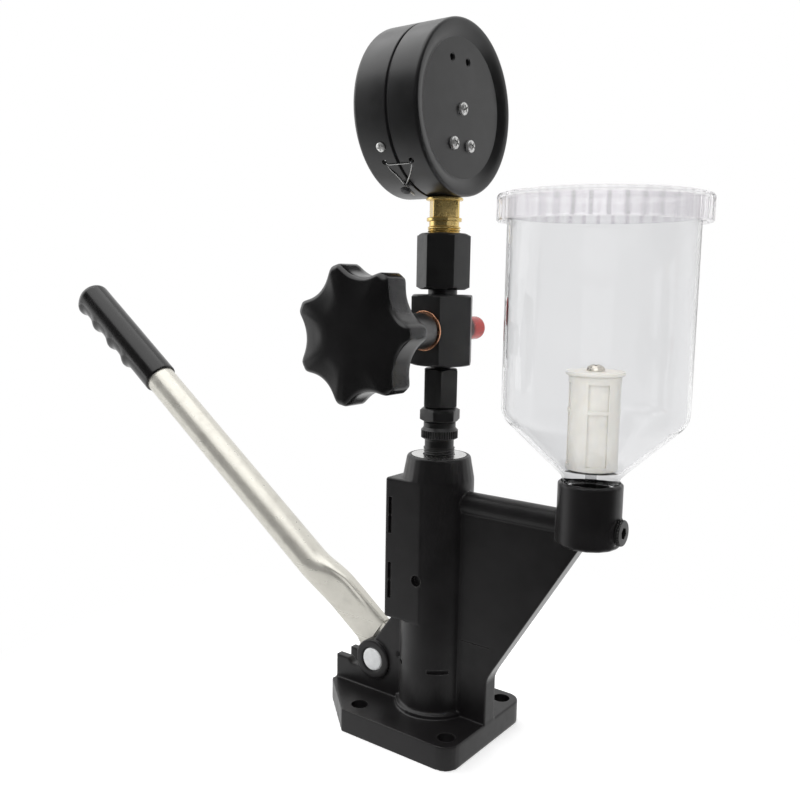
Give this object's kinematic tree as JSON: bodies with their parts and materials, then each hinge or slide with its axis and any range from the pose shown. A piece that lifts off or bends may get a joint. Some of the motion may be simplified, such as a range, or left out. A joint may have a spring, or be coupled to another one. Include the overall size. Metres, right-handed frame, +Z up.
{
  "type": "injector nozzle tester",
  "caption": "Bench hand-lever injector nozzle tester: cast stand with plunger pump, pressure gauge, star-knob shut-off valve, capped outlet and clear fuel cup on an arm.",
  "frame": {"origin": "on the column's axis at the underside of the base", "axes": "+X from the column to the fuel cup, -Y to the star knob, +Z up the column"},
  "size_m": [0.5295, 0.1479, 0.4377],
  "materials": {
    "black_paint": "satin black paint on a casting",
    "black_steel": "blackened machined steel",
    "bare_steel": "bare machined steel",
    "zinc_plate": "warm silver zinc plate",
    "brass": "turned brass",
    "copper": "copper sealing ring",
    "black_plastic": "glossy black plastic",
    "black_rubber": "soft black grip",
    "red_plastic": "translucent red cap",
    "clear_plastic": "clear moulded plastic",
    "ivory_plastic": "ivory moulded plastic",
    "white_dial": "white painted dial",
    "lead": "dull lead"
  },
  "bodies": {
    "stand": {"back_screw_centre": "zinc_plate", "back_screw_left": "zinc_plate", "back_screw_right": "zinc_plate", "bezel_screw": "zinc_plate", "bonnet_washer": "copper", "bourdon_tube": "brass", "collar_plug": "black_steel", "cup_o_ring": "black_rubber", "delivery_valve_holder": "black_steel", "delivery_valve_seat": "bare_steel", "delivery_valve_spring": "bare_steel", "filter_post": "ivory_plastic", "filter_screw": "zinc_plate", "fuel_cup": "clear_plastic", "gauge_adapter": "black_steel", "gauge_bezel": "black_paint", "gauge_case": "black_paint", "gauge_dial": "white_dial", "gauge_socket": "brass", "gauge_washer": "copper", "gauge_window": "clear_plastic", "gland_packing": "black_rubber", "lead_seal": "lead", "movement_plate": "brass", "outlet_nipple": "black_steel", "pivot_clip": "black_steel", "pivot_pin": "bare_steel", "plug_washer": "black_rubber", "plunger_spring": "bare_steel", "pump_barrel": "bare_steel", "pump_body": "black_paint", "pump_cylinder": "bare_steel", "riser_connector": "black_steel", "seal_wire": "bare_steel", "union_nut": "black_steel", "valve_block": "black_steel", "valve_bonnet": "black_steel"},
    "lever": {"lever": "zinc_plate", "lever_grip": "black_rubber"},
    "tappet": {"tappet": "bare_steel", "plunger": "bare_steel", "spring_seat": "bare_steel"},
    "delivery_valve": {"delivery_valve": "bare_steel"},
    "needle": {"valve_needle": "bare_steel"},
    "knob": {"valve_spindle": "bare_steel", "star_knob": "black_plastic"},
    "lid": {"cup_lid": "clear_plastic"},
    "cap": {"dust_cap": "red_plastic"},
    "pointer": {"gauge_pointer": "black_plastic"},
    "sector": {"sector_gear": "brass"}
  },
  "joints": [
    {"name": "lever_hinge", "type": "hinge", "parent": "stand", "child": "lever", "pos_m": [-0.0415, 0, 0.0367], "axis": [0, -1, 0], "range_deg": [0, 15], "stiffness_Nm_per_rad": 8, "springref_deg": -17.19},
    {"name": "tappet_slide", "type": "slide", "parent": "stand", "child": "tappet", "axis": [0, 0, 1], "range_m": [0, 0.0109], "deforming": ["plunger_spring"]},
    {"name": "delivery_valve_slide", "type": "slide", "parent": "stand", "child": "delivery_valve", "axis": [0, 0, 1], "range_m": [0, 0.002], "stiffness_N_per_m": 3000, "springref_m": -0.002, "deforming": ["delivery_valve_spring"]},
    {"name": "needle_slide", "type": "slide", "parent": "stand", "child": "needle", "axis": [0, -1, 0], "range_m": [0, 0.0023]},
    {"name": "knob_turn", "type": "hinge", "parent": "needle", "child": "knob", "pos_m": [0, 0, 0.2572], "axis": [0, -1, 0], "range_deg": [0, 540]},
    {"name": "lid_lift", "type": "slide", "parent": "stand", "child": "lid", "axis": [0, 0, 1], "range_m": [0, 0.03]},
    {"name": "cap_pull", "type": "slide", "parent": "stand", "child": "cap", "axis": [0, 1, 0], "range_m": [0, 0.02]},
    {"name": "pointer_turn", "type": "hinge", "parent": "stand", "child": "pointer", "pos_m": [0, 0, 0.3872], "axis": [1, 0, 0], "range_deg": [0, 270], "stiffness_Nm_per_rad": 0.0005, "springref_deg": -28.65},
    {"name": "sector_swing", "type": "hinge", "parent": "stand", "child": "sector", "pos_m": [0, 0, 0.3672], "axis": [1, 0, 0], "range_deg": [-49, 0]}
  ],
  "couplings": [
    {"joint": "tappet_slide", "follows": "lever_hinge", "m_per_rad": 0.04138},
    {"joint": "needle_slide", "follows": "knob_turn", "m_per_rad": 0.00023873},
    {"joint": "sector_swing", "follows": "pointer_turn", "ratio": -0.17964}
  ]
}
